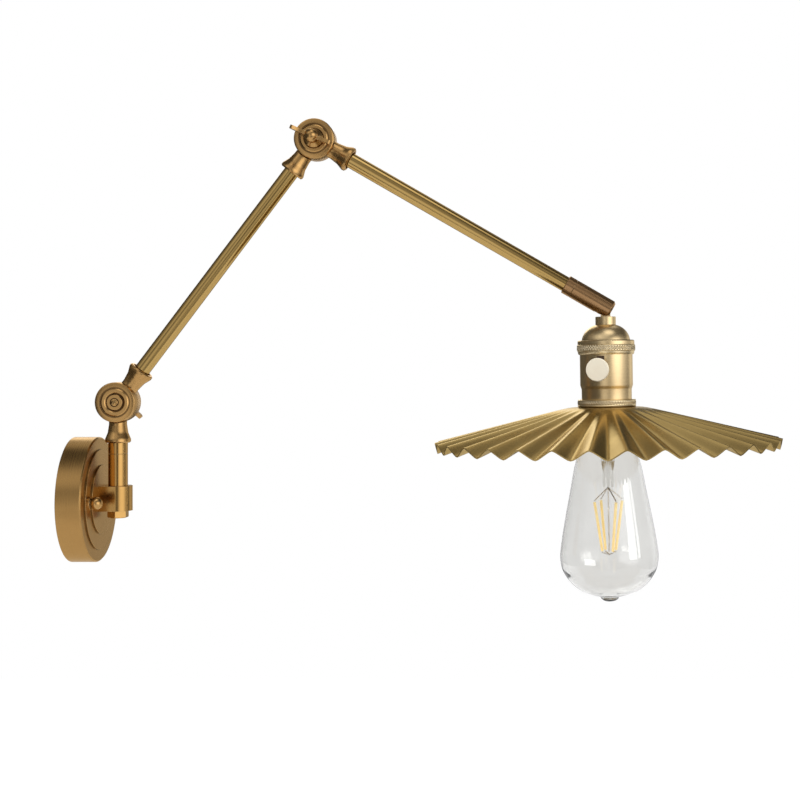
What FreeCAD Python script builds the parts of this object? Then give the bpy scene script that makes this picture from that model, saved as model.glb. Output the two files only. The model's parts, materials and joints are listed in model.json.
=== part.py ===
import FreeCAD, Part
import math
import os

# A swing-arm wall lamp in brass. A round canopy stands on the wall and carries a bracket and a
# short post. A swivelling knuckle on the post carries the lower arm, a second knuckle joins it to
# the upper arm, and a slotted sleeve at the arm's end carries a socket with a pleated shade.
# Millimetres and degrees. The origin is the centre of the canopy's back, on the wall.
# +X points out of the wall, +Z up, and the arms lie in the XZ plane.

# Clearances and shared sizes
slip_gap = 0.05
seam_gap = 0.25
overrun = 1.0

# Canopy, a spun cup with two raised steps on its face
canopy_radius = 40.5
canopy_depth = 16.0
canopy_wall = 1.2
canopy_edge_bevel = 0.8
outer_step_radius = 32.4
inner_step_radius = 22.3
step_height = 1.0
stud_hole_margin = 0.35

# Mounting strap on the wall, with two slots for wall screws and a cable hole
strap_length = 68.0
strap_width = 14.0
strap_thickness = 2.0
cable_hole_radius = 6.0
slot_offset = 14.5
slot_length = 9.0
slot_width = 4.5
earth_screw_margin = 0.4
earth_screw_radius = 1.5
earth_head_radius = 2.6
earth_head_height = 1.6

# Studs and ball nuts that hold the canopy on the strap
stud_radius = 1.95
ball_radius = 4.0
ball_collar_radius = 4.3
ball_collar_height = 1.8
ball_neck_radius = 2.9
ball_rise = 5.1
stud_engagement = 5.6

# Bracket, its hollow fixing nipple and the hardware behind the canopy
bracket_half_width = 9.25
bracket_reach = 10.0
bracket_rise = 8.9
bracket_drop = 7.2
fixing_nipple_radius = 5.0
fixing_nipple_bore = 3.5
fixing_nipple_engagement = 4.4
fixing_nipple_tail = 1.6
lock_washer_radius = 8.4
lock_washer_thickness = 1.0
fixing_nut_flats = 14.0
fixing_nut_height = 4.0

# Post, turned from one bar: a spindle through the bracket and a wider body above it
post_radius = 6.25
post_length = 20.7
post_bore = 3.2
spindle_radius = 5.0
spindle_tail = 0.4
post_nut_flats = 12.0
post_nut_height = 4.4
nut_chamfer = 0.5
swivel_socket_depth = 11.5
swivel_spigot_length = 11.0
swivel_collar_length = 8.25
wire_bore = 2.9

# Knuckle casting, used four times, as two halves on one bolt
disc_radius = 13.0
disc_top = 8.25
disc_gap = 0.3
disc_edge_round = 0.9
rim_width = 3.3
groove_width = 0.5
groove_depth = 0.45
ring_bulge = 0.15
ring_inner_radius = 5.75
ring_crown_width = 1.6
bolt_seat_radius = 5.4
bolt_seat_height = 7.0
boss_radius = 4.5
cavity_radius = 10.5
cavity_height = 4.6
disc_clearance = 0.6
neck_start = 9.0
neck_root_radius = 5.7
neck_root_end = 14.5
neck_mid_radius = 6.5
neck_mid = 19.8
neck_lip_radius = 8.2
neck_lip_start = 24.0
neck_end = 26.3
lip_chamfer = 0.8
neck_seat = 25.1
mouth_gap = 0.1

# Hollow threaded nipples that join the tubes to the necks
nipple_radius = 4.0
nipple_neck_length = 8.9
nipple_tube_length = 9.5

# Pivot bolts, friction rings and wing nuts
bolt_radius = 2.5
bolt_head_radius = 5.3
bolt_head_side = 1.3
bolt_head_top = 1.75
bolt_head_chamfer = 0.5
bolt_ring_radius = 2.75
bolt_ring_depth = 0.6
bolt_dome_radius = 2.35
bolt_dome_rise = 0.5
bolt_slot_width = 0.8
bolt_slot_depth = 0.55
bolt_engagement = 8.6
friction_ring_inner = 10.65
friction_ring_outer = 12.7
friction_ring_thickness = 0.5
wing_hub_base_radius = 5.2
wing_flange_radius = 6.2
wing_flange_low = 0.5
wing_hub_base_height = 1.6
wing_hub_waist_radius = 3.9
wing_hub_waist_height = 4.2
wing_hub_top_radius = 4.2
wing_hub_shoulder = 12.4
wing_hub_height = 15.6
wing_thickness = 2.3
wing_half_span = 14.4
wing_root_low = 5.6
wing_root_high = 13.2
wing_tip_low = 9.6
wing_tip_high = 15.2
wing_tip_round = 1.9
wing_belly = 0.9

# Arms
arm_tube_radius = 5.0
lower_arm_length = 213.6
lower_arm_angle = 53.0
upper_arm_length = 217.8
upper_arm_angle = -29.95
wing_angle_lower = -49.0
wing_angle_upper = -22.3

# Sleeve at the end of the upper arm, slotted for the lamp head's tongue
sleeve_radius = 6.2
sleeve_start = 29.9
sleeve_end = 4.7
sleeve_ring_length = 5.75
sleeve_ring_wall = 0.85
sleeve_spigot_length = 13.0
sleeve_chamfer = 0.8
sleeve_tip_chamfer = 1.3
fork_round = 5.6
fork_back = 0.8
fork_slot_width = 4.4
fork_slot_roof = 4.6
fork_slot_back = 5.0
pin_radius = 1.5
pin_blind = 1.6
pin_recess = 0.3

# Lamp head. Heights are measured down from the tilt pin, so they are negative.
head_lean = -0.9
tongue_width = 6.2
tongue_thickness = 4.0
tongue_sink = 0.2
stud_tail = 3.4
cap_nut_flats = 12.6
cap_nut_height = 2.8
collar_radius = 6.65
collar_top = -6.3
collar_foot = -11.6
cap_neck_foot = -12.9
cap_wall = 0.9
dome_mid_radius = 12.7
dome_mid_height = -15.1
dome_radius = 15.8
dome_foot = -21.55
cap_rim_radius = 18.5
cap_rim_foot = -24.45
cap_rim_bevel = 0.6
cap_ledge = -22.4
knurl_ring_radius = 19.15
knurl_ring_foot = -28.65
knurl_chamfer = 0.5
knurl_step_radius = 18.5
knurl_step_foot = -30.85
knurl_foot_radius = 18.0
shell_radius = 17.15
shell_wall = 0.8
shell_taper_start = -50.75
shell_taper_end = -53.4
shell_low_radius = 16.3
shell_foot = -70.0
liner_wall = 0.6
liner_top = -26.6
liner_foot = -50.2
shade_ring_radius = 19.1
shade_ring_top = -60.1
shade_hub_height = -64.7
lock_ring_radius = 19.4
lock_ring_height = 4.0

# Switch in the socket
block_radius = 15.3
block_top = -28.0
block_foot = -46.4
terminal_offset = 8.0
terminal_radius = 2.8
terminal_height = 1.8
terminal_slot = 0.8
switch_height = -40.6
switch_turn = 16.4
stem_radius = 2.0
stem_inner_end = 7.0
slot_margin = 0.6
slot_band = 0.9
knob_radius = 7.4
knob_thickness = 2.5
knob_stand = 6.6
knob_edge_round = 0.5
knob_boss_radius = 3.4
knob_boss_length = 3.4

# Lampholder screw shell and contact
holder_sleeve_foot = -69.4
holder_sleeve_wall = 1.4
screw_shell_radius = 13.85
screw_shell_wall = 0.45
screw_shell_foot = -69.0
contact_base_radius = 5.0
contact_base_thickness = 0.6
contact_leaf_width = 5.0
contact_leaf_reach = 4.2
contact_leaf_thickness = 0.5

# Pleated shade
pleat_count = 32
shade_radius = 112.5
shade_wall = 0.9
shade_rim_height = -86.4
pleat_depth = 5.8
pleat_inset = 1.3
pleat_start_radius = 28.0
pleat_turn = -3.3
crown_radius = 41.0
crown_drop = 4.4
crown_radius_shares = (0.54, 0.68, 0.83, 1.0)
crown_drop_shares = (0.0, 0.2, 0.52, 1.0)

# Bulb with a pear-shaped clear envelope
bulb_contact_top = -50.0
bulb_contact_radius = 4.6
bulb_contact_height = 1.0
bulb_insulator_height = 3.2
bulb_insulator_low_radius = 10.4
bulb_cap_radius = 13.1
bulb_cap_wall = 0.5
bulb_cap_shoulder = -57.0
bulb_cap_foot = -76.6
glass_wall = 0.8
glass_neck_radius = 12.4
glass_top = -68.0
glass_radius = 32.0
glass_foot = -187.4
glass_radius_shares = (0.53, 0.72, 0.88, 0.975, 1.0, 0.9, 0.65, 0.3)
glass_height_shares = (0.1, 0.28, 0.53, 0.69, 0.78, 0.885, 0.962, 0.995)
nub_radius = 6.4
nub_foot = -191.4
stem_flare_height = 6.0
stem_tube_radius = 4.6
stem_tube_wall = 0.9
stem_pinch_top = -100.0
stem_pinch_foot = -117.0
stem_pinch_radius = 3.6
support_wire_radius = 0.5
support_wire_foot = -161.5
filament_count = 4
filament_radius = 0.9
filament_top = -126.5
filament_foot = -158.5
filament_top_reach = 10.2
filament_foot_reach = 5.0
filament_turn = 25.0
spider_wire_radius = 0.4

# Places that follow from the sizes above
canopy_mid_x = canopy_depth + step_height
stud_offset = (outer_step_radius + inner_step_radius) / 2
earth_screw_offset = slot_offset + slot_length / 2 + earth_head_radius
earth_screw_rise = strap_width / 2 - earth_head_radius - earth_screw_margin
canopy_front_x = canopy_depth + 2 * step_height
post_x = canopy_front_x + bracket_reach
post_top = bracket_rise + post_length
swivel_base = post_top + seam_gap
swivel_top = swivel_base + swivel_collar_length
knuckle_one_z = swivel_top + neck_seat
nipple_bore = nipple_radius + slip_gap
mouth_radius = post_radius + mouth_gap
shell_bore = shell_radius - shell_wall
shell_low_bore = shell_low_radius - shell_wall
ring_bore = shell_low_radius + slip_gap
shade_hole_radius = shell_low_radius + 2 * slip_gap
holder_sleeve_radius = shell_low_bore - slip_gap
up = FreeCAD.Vector(0, 0, 1)
out = FreeCAD.Vector(1, 0, 0)
back = FreeCAD.Vector(0, 1, 0)
origin = FreeCAD.Vector(0, 0, 0)
quarter = 90
half_turn = 180
full_turn = 360
hex_sides = 6
diagonal_share = math.sqrt(0.5)


def vec(x, y, z):
    return FreeCAD.Vector(x, y, z)


def on_xz(a, b):
    return vec(a, 0, b)


def on_yz(a, b):
    return vec(0, a, b)


def on_xy(a, b):
    return vec(a, b, 0)


def face_of(outline, place):
    # A step of the outline is a point, or a pair of points: an arc's middle and its end.
    edges = []
    here = outline[0]
    for step in outline[1:]:
        if isinstance(step[0], tuple):
            middle, there = step
            arc = Part.Arc(place(*here), place(*middle), place(*there))
            edges.append(arc.toShape())
        else:
            there = step
            edges.append(Part.makeLine(place(*here), place(*there)))
        here = there
    if here != outline[0]:
        edges.append(Part.makeLine(place(*here), place(*outline[0])))
    return Part.Face(Part.Wire(edges))


def turned(outline):
    # Outline points are (radius, height), turned about the Z axis.
    return face_of(outline, on_xz).revolve(origin, up, full_turn)


def cap_step(radius, base, tip):
    # The arc's middle and end for a dome of this radius, part of a ball centred on the axis.
    rise = abs(tip - base)
    ball = (radius ** 2 + rise ** 2) / (2 * rise)
    half_angle = math.asin(radius / ball) / 2
    side = 1 if tip > base else -1
    centre = tip - side * ball
    return (ball * math.sin(half_angle), centre + side * ball * math.cos(half_angle)), (0, tip)


def slab_y(outline, thickness):
    # Outline points are (x, z). The slab is centred on the XZ plane.
    face = face_of(outline, on_xz)
    face.translate(vec(0, -thickness / 2, 0))
    return face.extrude(vec(0, thickness, 0))


def slab_z(outline, low, high):
    face = face_of(outline, on_xy)
    face.translate(vec(0, 0, low))
    return face.extrude(vec(0, 0, high - low))


def plate_x(outline, low, high):
    face = face_of(outline, on_yz)
    face.translate(vec(low, 0, 0))
    return face.extrude(vec(high - low, 0, 0))


def rod(radius, low, high):
    return Part.makeCylinder(radius, high - low, vec(0, 0, low), up)


def tube(radius, bore, low, high):
    return turned([(bore, low), (radius, low), (radius, high), (bore, high)])


def block(low, high):
    size = high - low
    return Part.makeBox(size.x, size.y, size.z, low)


def moved(shape, x, y, z):
    copy = shape.copy()
    copy.translate(vec(x, y, z))
    return copy


def spun(shape, axis, degrees):
    copy = shape.copy()
    copy.rotate(origin, axis, degrees)
    return copy


def aimed(shape, degrees):
    # Turns a shape built along +Z to point at this angle above +X.
    return spun(shape, back, quarter - degrees)


def facing_front(shape):
    return spun(shape, out, quarter)


def facing_back(shape):
    return spun(shape, out, -quarter)


def stadium(length, width, centre):
    # A slot's outline along the first axis, centred at this place on it.
    reach = (length - width) / 2
    half = width / 2
    left = centre - reach
    right = centre + reach
    return [(left, -half), (right, -half), ((right + half, 0), (right, half)),
            (left, half), ((left - half, 0), (left, -half))]


def hex_corner(flats):
    return flats / 2 / math.cos(math.pi / hex_sides)


def hexagon(flats):
    corner = hex_corner(flats)
    points = []
    for index in range(hex_sides):
        angle = math.radians(index * full_turn / hex_sides)
        points.append((corner * math.cos(angle), corner * math.sin(angle)))
    return points


def hex_nut(flats, bore, low, high):
    corner = hex_corner(flats)
    shape = slab_z(hexagon(flats), low, high)
    edge = corner - nut_chamfer
    limit = turned([(0, low), (edge, low), (corner, low + nut_chamfer),
                    (corner, high - nut_chamfer), (edge, high), (0, high)])
    return shape.common(limit).cut(rod(bore, low - overrun, high + overrun))


# Wall side

def canopy():
    face = canopy_depth - canopy_wall
    hole = fixing_nipple_radius + slip_gap
    edge = canopy_radius - canopy_edge_bevel
    mid_face = canopy_mid_x - canopy_wall
    front_face = canopy_front_x - canopy_wall
    inner = canopy_radius - canopy_wall
    outer_step = outer_step_radius - canopy_wall
    inner_step = inner_step_radius - canopy_wall
    shape = turned([
        (canopy_radius, 0), (canopy_radius, canopy_depth - canopy_edge_bevel),
        (edge, canopy_depth),
        (outer_step_radius, canopy_depth), (outer_step_radius, canopy_mid_x),
        (inner_step_radius, canopy_mid_x), (inner_step_radius, canopy_front_x),
        (hole, canopy_front_x), (hole, front_face),
        (inner_step, front_face), (inner_step, mid_face),
        (outer_step, mid_face), (outer_step, face),
        (inner, face), (inner, 0)])
    shape = aimed(shape, 0)
    for side in (-1, 1):
        hole_radius = stud_radius + stud_hole_margin
        drill = aimed(rod(hole_radius, 0, canopy_front_x + overrun), 0)
        shape = shape.cut(moved(drill, 0, side * stud_offset, 0))
    return shape


def mounting_strap():
    shape = plate_x(stadium(strap_length, strap_width, 0), 0, strap_thickness)
    through = strap_thickness + overrun
    cutters = [aimed(rod(cable_hole_radius, -overrun, through), 0)]
    for side in (-1, 1):
        slot = stadium(slot_length, slot_width, side * slot_offset)
        cutters.append(plate_x(slot, -overrun, through))
        stud_hole = aimed(rod(stud_radius + slip_gap, -overrun, through), 0)
        cutters.append(moved(stud_hole, 0, side * stud_offset, 0))
    earth_hole = aimed(rod(earth_screw_radius + slip_gap, -overrun, through), 0)
    cutters.append(moved(earth_hole, 0, earth_screw_offset, earth_screw_rise))
    for cutter in cutters:
        shape = shape.cut(cutter)
    return shape


def earth_screw():
    shape = turned([(0, 0), (earth_screw_radius, 0), (earth_screw_radius, strap_thickness),
                    (earth_head_radius, strap_thickness),
                    (earth_head_radius, strap_thickness + earth_head_height),
                    (0, strap_thickness + earth_head_height)])
    return moved(aimed(shape, 0), 0, earth_screw_offset, earth_screw_rise)


def canopy_stud(side):
    shape = rod(stud_radius, 0, canopy_mid_x + stud_engagement)
    return moved(aimed(shape, 0), 0, side * stud_offset, 0)


def ball_nut(side):
    bore = stud_radius + slip_gap
    seat = ball_rise - math.sqrt(ball_radius ** 2 - ball_neck_radius ** 2)
    end = stud_engagement + slip_gap
    shape = turned([(bore, 0), (ball_collar_radius, 0),
                    (ball_collar_radius, ball_collar_height),
                    (ball_neck_radius, ball_collar_height), (ball_neck_radius, seat),
                    ((ball_radius, ball_rise), (0, ball_rise + ball_radius)),
                    (0, end), (bore, end)])
    return moved(aimed(shape, 0), canopy_mid_x, side * stud_offset, 0)


def bracket():
    near = canopy_front_x
    half = bracket_half_width
    outline = [(near, -half), (post_x, -half), ((post_x + half, 0), (post_x, half)),
               (near, half)]
    shape = slab_z(outline, -bracket_drop, bracket_rise)
    post_bore_cut = rod(spindle_radius + slip_gap, -bracket_drop - overrun,
                        bracket_rise + overrun)
    shape = shape.cut(moved(post_bore_cut, post_x, 0, 0))
    nipple_cut = rod(fixing_nipple_radius + slip_gap, near - overrun,
                     near + fixing_nipple_engagement)
    shape = shape.cut(aimed(nipple_cut, 0))
    return shape.cut(aimed(rod(wire_bore, near, post_x), 0))


def fixing_nut_front():
    return canopy_front_x - canopy_wall - lock_washer_thickness


def fixing_nipple():
    low = fixing_nut_front() - fixing_nut_height - fixing_nipple_tail
    high = canopy_front_x + fixing_nipple_engagement
    return aimed(tube(fixing_nipple_radius, fixing_nipple_bore, low, high), 0)


def fixing_lock_washer():
    high = canopy_front_x - canopy_wall
    bore = fixing_nipple_radius + slip_gap
    return aimed(tube(lock_washer_radius, bore, high - lock_washer_thickness, high), 0)


def fixing_nut():
    high = fixing_nut_front()
    bore = fixing_nipple_radius + slip_gap
    return aimed(hex_nut(fixing_nut_flats, bore, high - fixing_nut_height, high), 0)


def post_nut():
    high = -bracket_drop
    shape = hex_nut(post_nut_flats, spindle_radius + slip_gap, high - post_nut_height, high)
    return moved(spun(shape, up, full_turn / hex_sides / 2), post_x, 0, 0)


def post_stem():
    foot = -bracket_drop - post_nut_height - spindle_tail
    socket = spindle_radius
    shape = turned([(post_bore, foot), (spindle_radius, foot),
                    (spindle_radius, bracket_rise), (post_radius, bracket_rise),
                    (post_radius, post_top), (socket, post_top),
                    (socket, post_top - swivel_socket_depth),
                    (post_bore, post_top - swivel_socket_depth)])
    wire_hole = spun(rod(wire_bore, 0, spindle_radius + overrun), back, -quarter)
    return moved(shape.cut(wire_hole), post_x, 0, 0)


# Swivel and knuckles

def swivel_collar():
    spigot = spindle_radius - slip_gap
    shape = turned([(wire_bore, swivel_base - swivel_spigot_length),
                    (spigot, swivel_base - swivel_spigot_length), (spigot, swivel_base),
                    (post_radius, swivel_base), (post_radius, swivel_top),
                    (nipple_radius, swivel_top),
                    (nipple_radius, swivel_top + nipple_neck_length),
                    (wire_bore, swivel_top + nipple_neck_length)])
    return moved(shape, post_x, 0, 0)


def casting_disc():
    top = disc_top
    edge = disc_radius - disc_edge_round
    knee = disc_edge_round * (1 - diagonal_share)
    rim = disc_radius - rim_width
    groove = rim - groove_width
    bottom = top - groove_depth
    crown = (groove + ring_inner_radius) / 2
    crown_top = top + ring_bulge
    half = ring_crown_width / 2
    return turned([
        (bolt_radius + slip_gap, disc_gap), (disc_radius, disc_gap),
        (disc_radius, top - disc_edge_round),
        (disc_radius - knee, top - knee), (edge, top),
        (rim, top), (rim, bottom), (groove, bottom),
        (crown + half, crown_top), (crown - half, crown_top), (ring_inner_radius, bottom),
        (bolt_seat_radius, bottom), (bolt_seat_radius, bolt_seat_height),
        (bolt_radius + slip_gap, bolt_seat_height)])


def casting_neck():
    return turned([
        (0, neck_start), (neck_root_radius, neck_start), (neck_root_radius, neck_root_end),
        (neck_mid_radius, neck_mid), (neck_lip_radius, neck_lip_start),
        (neck_lip_radius, neck_end - lip_chamfer), (neck_lip_radius - lip_chamfer, neck_end),
        (0, neck_end)])


def knuckle_casting():
    # The half behind the arms' plane, with its neck along +Z and the pivot at the origin.
    shape = facing_back(casting_disc()).fuse(casting_neck())
    reach = disc_radius + disc_clearance
    room = facing_back(rod(reach, -disc_radius, disc_gap))
    cavity = facing_back(tube(cavity_radius, boss_radius, 0, cavity_height))
    bore = rod(nipple_bore, neck_seat - nipple_neck_length - slip_gap, neck_end)
    mouth = rod(mouth_radius, neck_seat, neck_end + overrun)
    passage = rod(wire_bore, neck_start, neck_seat)
    for cutter in (room, cavity, bore, mouth, passage):
        shape = shape.cut(cutter)
    return shape


def front_half():
    return spun(knuckle_casting(), up, half_turn)


def back_half():
    return knuckle_casting()


def pivot_bolt():
    # Built along +Z: the head's seat is at the height of the bolt seat, outward from the middle.
    seat = bolt_seat_height
    side = seat + bolt_head_side
    top = seat + bolt_head_top
    end = -disc_top - bolt_engagement
    shape = turned([
        (0, end), (bolt_radius, end), (bolt_radius, seat), (bolt_head_radius, seat),
        (bolt_head_radius, side), (bolt_head_radius - bolt_head_chamfer, top),
        (bolt_ring_radius, top), (bolt_ring_radius, top - bolt_ring_depth),
        (bolt_dome_radius, top - bolt_ring_depth), (bolt_dome_radius, top),
        cap_step(bolt_dome_radius, top, top + bolt_dome_rise)])
    half = bolt_slot_width / 2
    reach = bolt_dome_radius + overrun
    slot = block(vec(-reach, -half, top - bolt_slot_depth + bolt_dome_rise),
                 vec(reach, half, top + overrun))
    return shape.cut(spun(slot, up, quarter / 2))


def wing_blades():
    # Both wings as one slab, which crosses the hub. Outline in (across, height) from the
    # knuckle's face.
    tip = wing_half_span
    inner = tip - wing_tip_round
    root = bolt_radius
    half_way = (root + inner) / 2
    low_mid = (wing_root_low + wing_tip_low) / 2 - wing_belly
    high_mid = (wing_root_high + wing_tip_high) / 2 - wing_belly
    tip_mid = (wing_tip_low + wing_tip_high) / 2
    return slab_y([
        (-root, wing_root_low), (root, wing_root_low),
        ((half_way, low_mid), (inner, wing_tip_low)),
        ((tip, tip_mid), (inner, wing_tip_high)),
        ((half_way, high_mid), (root, wing_root_high)), (-root, wing_root_high),
        ((-half_way, high_mid), (-inner, wing_tip_high)),
        ((-tip, tip_mid), (-inner, wing_tip_low)),
        ((-half_way, low_mid), (-root, wing_root_low))], wing_thickness)


def wing_nut():
    # Built along +Z with the knuckle's face at zero height.
    low = bolt_seat_height - disc_top + slip_gap
    hub = turned([
        (0, low), (wing_hub_base_radius, low), (wing_hub_base_radius, wing_flange_low),
        (wing_flange_radius, wing_flange_low), (wing_flange_radius, wing_hub_base_height),
        (wing_hub_waist_radius, wing_hub_waist_height), (wing_hub_top_radius, wing_hub_shoulder),
        cap_step(wing_hub_top_radius, wing_hub_shoulder, wing_hub_height)])
    bore = rod(bolt_radius + slip_gap, low - overrun, bolt_engagement + slip_gap)
    return spun(hub, up, quarter).fuse(wing_blades()).cut(bore)


def friction_ring():
    # Lies on the back half and stays just clear of the front half.
    low = disc_gap - friction_ring_thickness
    return facing_back(tube(friction_ring_outer, friction_ring_inner, low, disc_gap))


def at_knuckle_one(shape):
    return moved(shape, post_x, 0, knuckle_one_z)


def at_knuckle_two(shape):
    angle = math.radians(lower_arm_angle)
    return moved(shape, post_x + lower_arm_length * math.cos(angle), 0,
                 knuckle_one_z + lower_arm_length * math.sin(angle))


def at_head_pin(shape):
    angle = math.radians(upper_arm_angle)
    placed = moved(shape, upper_arm_length * math.cos(angle), 0,
                   upper_arm_length * math.sin(angle))
    return at_knuckle_two(placed)


def post_knuckle():
    return at_knuckle_one(aimed(back_half(), -quarter))


def lower_friction_ring():
    return at_knuckle_one(friction_ring())


def upper_friction_ring():
    return at_knuckle_two(friction_ring())


def lower_pivot_bolt():
    return at_knuckle_one(facing_front(pivot_bolt()))


def upper_pivot_bolt():
    return at_knuckle_two(facing_back(pivot_bolt()))


def lower_wing_nut():
    shape = moved(wing_nut(), 0, 0, disc_top)
    return at_knuckle_one(spun(facing_back(shape), back, -wing_angle_lower))


def upper_wing_nut():
    shape = moved(wing_nut(), 0, 0, disc_top)
    return at_knuckle_two(spun(facing_front(shape), back, -wing_angle_upper))


# Arms, each built along +Z from its lower pivot

def on_lower_arm(shape):
    return at_knuckle_one(aimed(shape, lower_arm_angle))


def on_upper_arm(shape):
    return at_knuckle_two(aimed(shape, upper_arm_angle))


def neck_nipple():
    return tube(nipple_radius, wire_bore, neck_seat - nipple_neck_length,
                neck_seat + nipple_tube_length)


def far_end(shape, length):
    return moved(spun(shape, back, half_turn), 0, 0, length)


def lower_arm_foot_knuckle():
    return on_lower_arm(front_half())


def lower_arm_top_knuckle():
    return on_lower_arm(far_end(back_half(), lower_arm_length))


def lower_arm_foot_nipple():
    return on_lower_arm(neck_nipple())


def lower_arm_top_nipple():
    return on_lower_arm(far_end(neck_nipple(), lower_arm_length))


def lower_arm_tube():
    return on_lower_arm(tube(arm_tube_radius, nipple_bore, neck_seat,
                             lower_arm_length - neck_seat))


def upper_arm_knuckle():
    return on_upper_arm(front_half())


def upper_arm_nipple():
    return on_upper_arm(neck_nipple())


def sleeve_ring_end():
    return upper_arm_length - sleeve_start + sleeve_ring_length


def upper_arm_tube():
    return on_upper_arm(tube(arm_tube_radius, nipple_bore, neck_seat,
                             sleeve_ring_end() - sleeve_ring_wall))


def sleeve_base_ring():
    start = upper_arm_length - sleeve_start
    end = sleeve_ring_end()
    shelf = end - sleeve_ring_wall
    bore = arm_tube_radius + slip_gap
    shape = turned([(bore, start), (sleeve_radius - sleeve_chamfer / 2, start),
                    (sleeve_radius, start + sleeve_chamfer / 2), (sleeve_radius, end),
                    (nipple_bore, end), (nipple_bore, shelf), (bore, shelf)])
    return on_upper_arm(shape)


def end_sleeve():
    pin = upper_arm_length
    start = sleeve_ring_end() + seam_gap
    end = pin + sleeve_end
    spigot = nipple_bore - slip_gap
    shape = turned([(wire_bore, start - sleeve_spigot_length),
                    (spigot, start - sleeve_spigot_length), (spigot, start),
                    (sleeve_radius, start), (sleeve_radius, end - sleeve_tip_chamfer),
                    (sleeve_radius - sleeve_tip_chamfer, end), (0, end),
                    (0, pin - fork_slot_back), (wire_bore, pin - fork_slot_back)])
    half = fork_slot_width / 2
    far = sleeve_radius + overrun
    slot = block(vec(-fork_slot_roof, -half, pin - fork_slot_back), vec(far, half, end + overrun))
    corner = block(vec(0, -far, pin - fork_back), vec(far, far, end + overrun))
    rounding = moved(facing_back(rod(fork_round, -far, far)), 0, 0, pin)
    pin_hole = rod(pin_radius + slip_gap, pin_blind - sleeve_radius, far)
    pin_hole = moved(facing_back(pin_hole), 0, 0, pin)
    for cutter in (slot, corner.cut(rounding), pin_hole):
        shape = shape.cut(cutter)
    return on_upper_arm(shape)


def head_tilt_pin():
    shape = rod(pin_radius, pin_blind - sleeve_radius, sleeve_radius - pin_recess)
    return at_head_pin(facing_back(shape))


# Lamp head, built down from the tilt pin

def on_head(shape):
    return at_head_pin(spun(shape, back, head_lean))


def head_tongue():
    half = tongue_width / 2
    top = collar_top - tongue_sink
    foot = cap_neck_foot - stud_tail
    shape = slab_y([(half, top - overrun), (half, 0), ((0, half), (-half, 0)),
                    (-half, top - overrun)], tongue_thickness)
    shape = shape.fuse(rod(fixing_nipple_radius - slip_gap, foot, top))
    reach = tongue_thickness
    shape = shape.cut(facing_back(rod(pin_radius + slip_gap, -reach, reach)))
    shape = shape.cut(rod(wire_bore, foot - overrun, top - 2 * overrun))
    return on_head(shape)


def cap_lock_nut():
    shape = hex_nut(cap_nut_flats, fixing_nipple_radius, cap_neck_foot - cap_nut_height,
                    cap_neck_foot)
    return on_head(shape)


def socket_cap():
    rim = cap_rim_radius
    skirt = shell_radius + slip_gap
    shape = turned([
        (fixing_nipple_radius, collar_top), (collar_radius, collar_top),
        (collar_radius, collar_foot),
        ((dome_mid_radius, dome_mid_height), (dome_radius, dome_foot)),
        (rim - cap_rim_bevel, dome_foot), (rim, dome_foot - cap_rim_bevel),
        (rim, cap_rim_foot), (skirt, cap_rim_foot), (skirt, cap_ledge),
        (dome_radius - cap_wall, cap_ledge),
        (dome_mid_radius - cap_wall * diagonal_share, dome_mid_height - cap_wall),
        (collar_radius + cap_wall, cap_neck_foot), (fixing_nipple_radius, cap_neck_foot)])
    return on_head(shape)


def cap_ring():
    bore = shell_radius + slip_gap
    edge = knurl_ring_radius - knurl_chamfer
    shape = turned([
        (bore, cap_rim_foot), (edge, cap_rim_foot),
        (knurl_ring_radius, cap_rim_foot - knurl_chamfer),
        (knurl_ring_radius, knurl_ring_foot + knurl_chamfer), (edge, knurl_ring_foot),
        (knurl_step_radius, knurl_ring_foot), (knurl_foot_radius, knurl_step_foot),
        (bore, knurl_step_foot)])
    return on_head(shape)


def switch_side(shape):
    # Turns a shape built along +Z to point out of the socket where the switch is.
    return moved(spun(facing_front(shape), up, -switch_turn), 0, 0, switch_height)


def socket_shell():
    shape = turned([
        (shell_bore, cap_ledge), (shell_radius, cap_ledge),
        (shell_radius, shell_taper_start), (shell_low_radius, shell_taper_end),
        (shell_low_radius, shell_foot), (shell_low_bore, shell_foot),
        (shell_low_bore, shell_taper_end), (shell_bore, shell_taper_start)])
    half = stem_radius + slot_margin
    slot = block(vec(-half, -shell_radius - overrun, switch_height),
                 vec(half, 0, knurl_step_foot - slot_band))
    shape = shape.cut(spun(slot, up, -switch_turn))
    shape = shape.cut(switch_side(rod(half, 0, shell_radius + overrun)))
    return on_head(shape)


def shell_liner():
    outer = shell_bore - slip_gap
    shape = tube(outer, outer - liner_wall, liner_foot, liner_top)
    hole = switch_side(rod(stem_radius + slot_margin, 0, shell_radius))
    return on_head(shape.cut(hole))


def switch_block():
    shape = rod(block_radius, block_foot, block_top)
    hole = switch_side(rod(stem_radius + slip_gap, stem_inner_end, shell_radius))
    return on_head(shape.cut(hole))


def terminal_screw(side):
    head = rod(terminal_radius, block_top, block_top + terminal_height)
    half = terminal_slot / 2
    slot = block(vec(-terminal_radius, -half, block_top + terminal_height / 2),
                 vec(terminal_radius, half, block_top + terminal_height + overrun))
    return on_head(moved(head.cut(slot), side * terminal_offset, 0, 0))


def knob_face():
    return shell_radius + knob_stand + knob_thickness


def switch_stem():
    return on_head(switch_side(rod(stem_radius, stem_inner_end + slip_gap,
                                   knob_face() - knob_thickness)))


def switch_knob():
    face = knob_face()
    rear = face - knob_thickness
    edge = knob_radius - knob_edge_round
    bore = stem_radius
    shape = turned([(0, rear), (bore, rear), (bore, rear - knob_boss_length),
                    (knob_boss_radius, rear - knob_boss_length), (knob_boss_radius, rear),
                    (edge, rear), (knob_radius, rear + knob_edge_round),
                    (knob_radius, face - knob_edge_round), (edge, face), (0, face)])
    return on_head(switch_side(shape))


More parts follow.
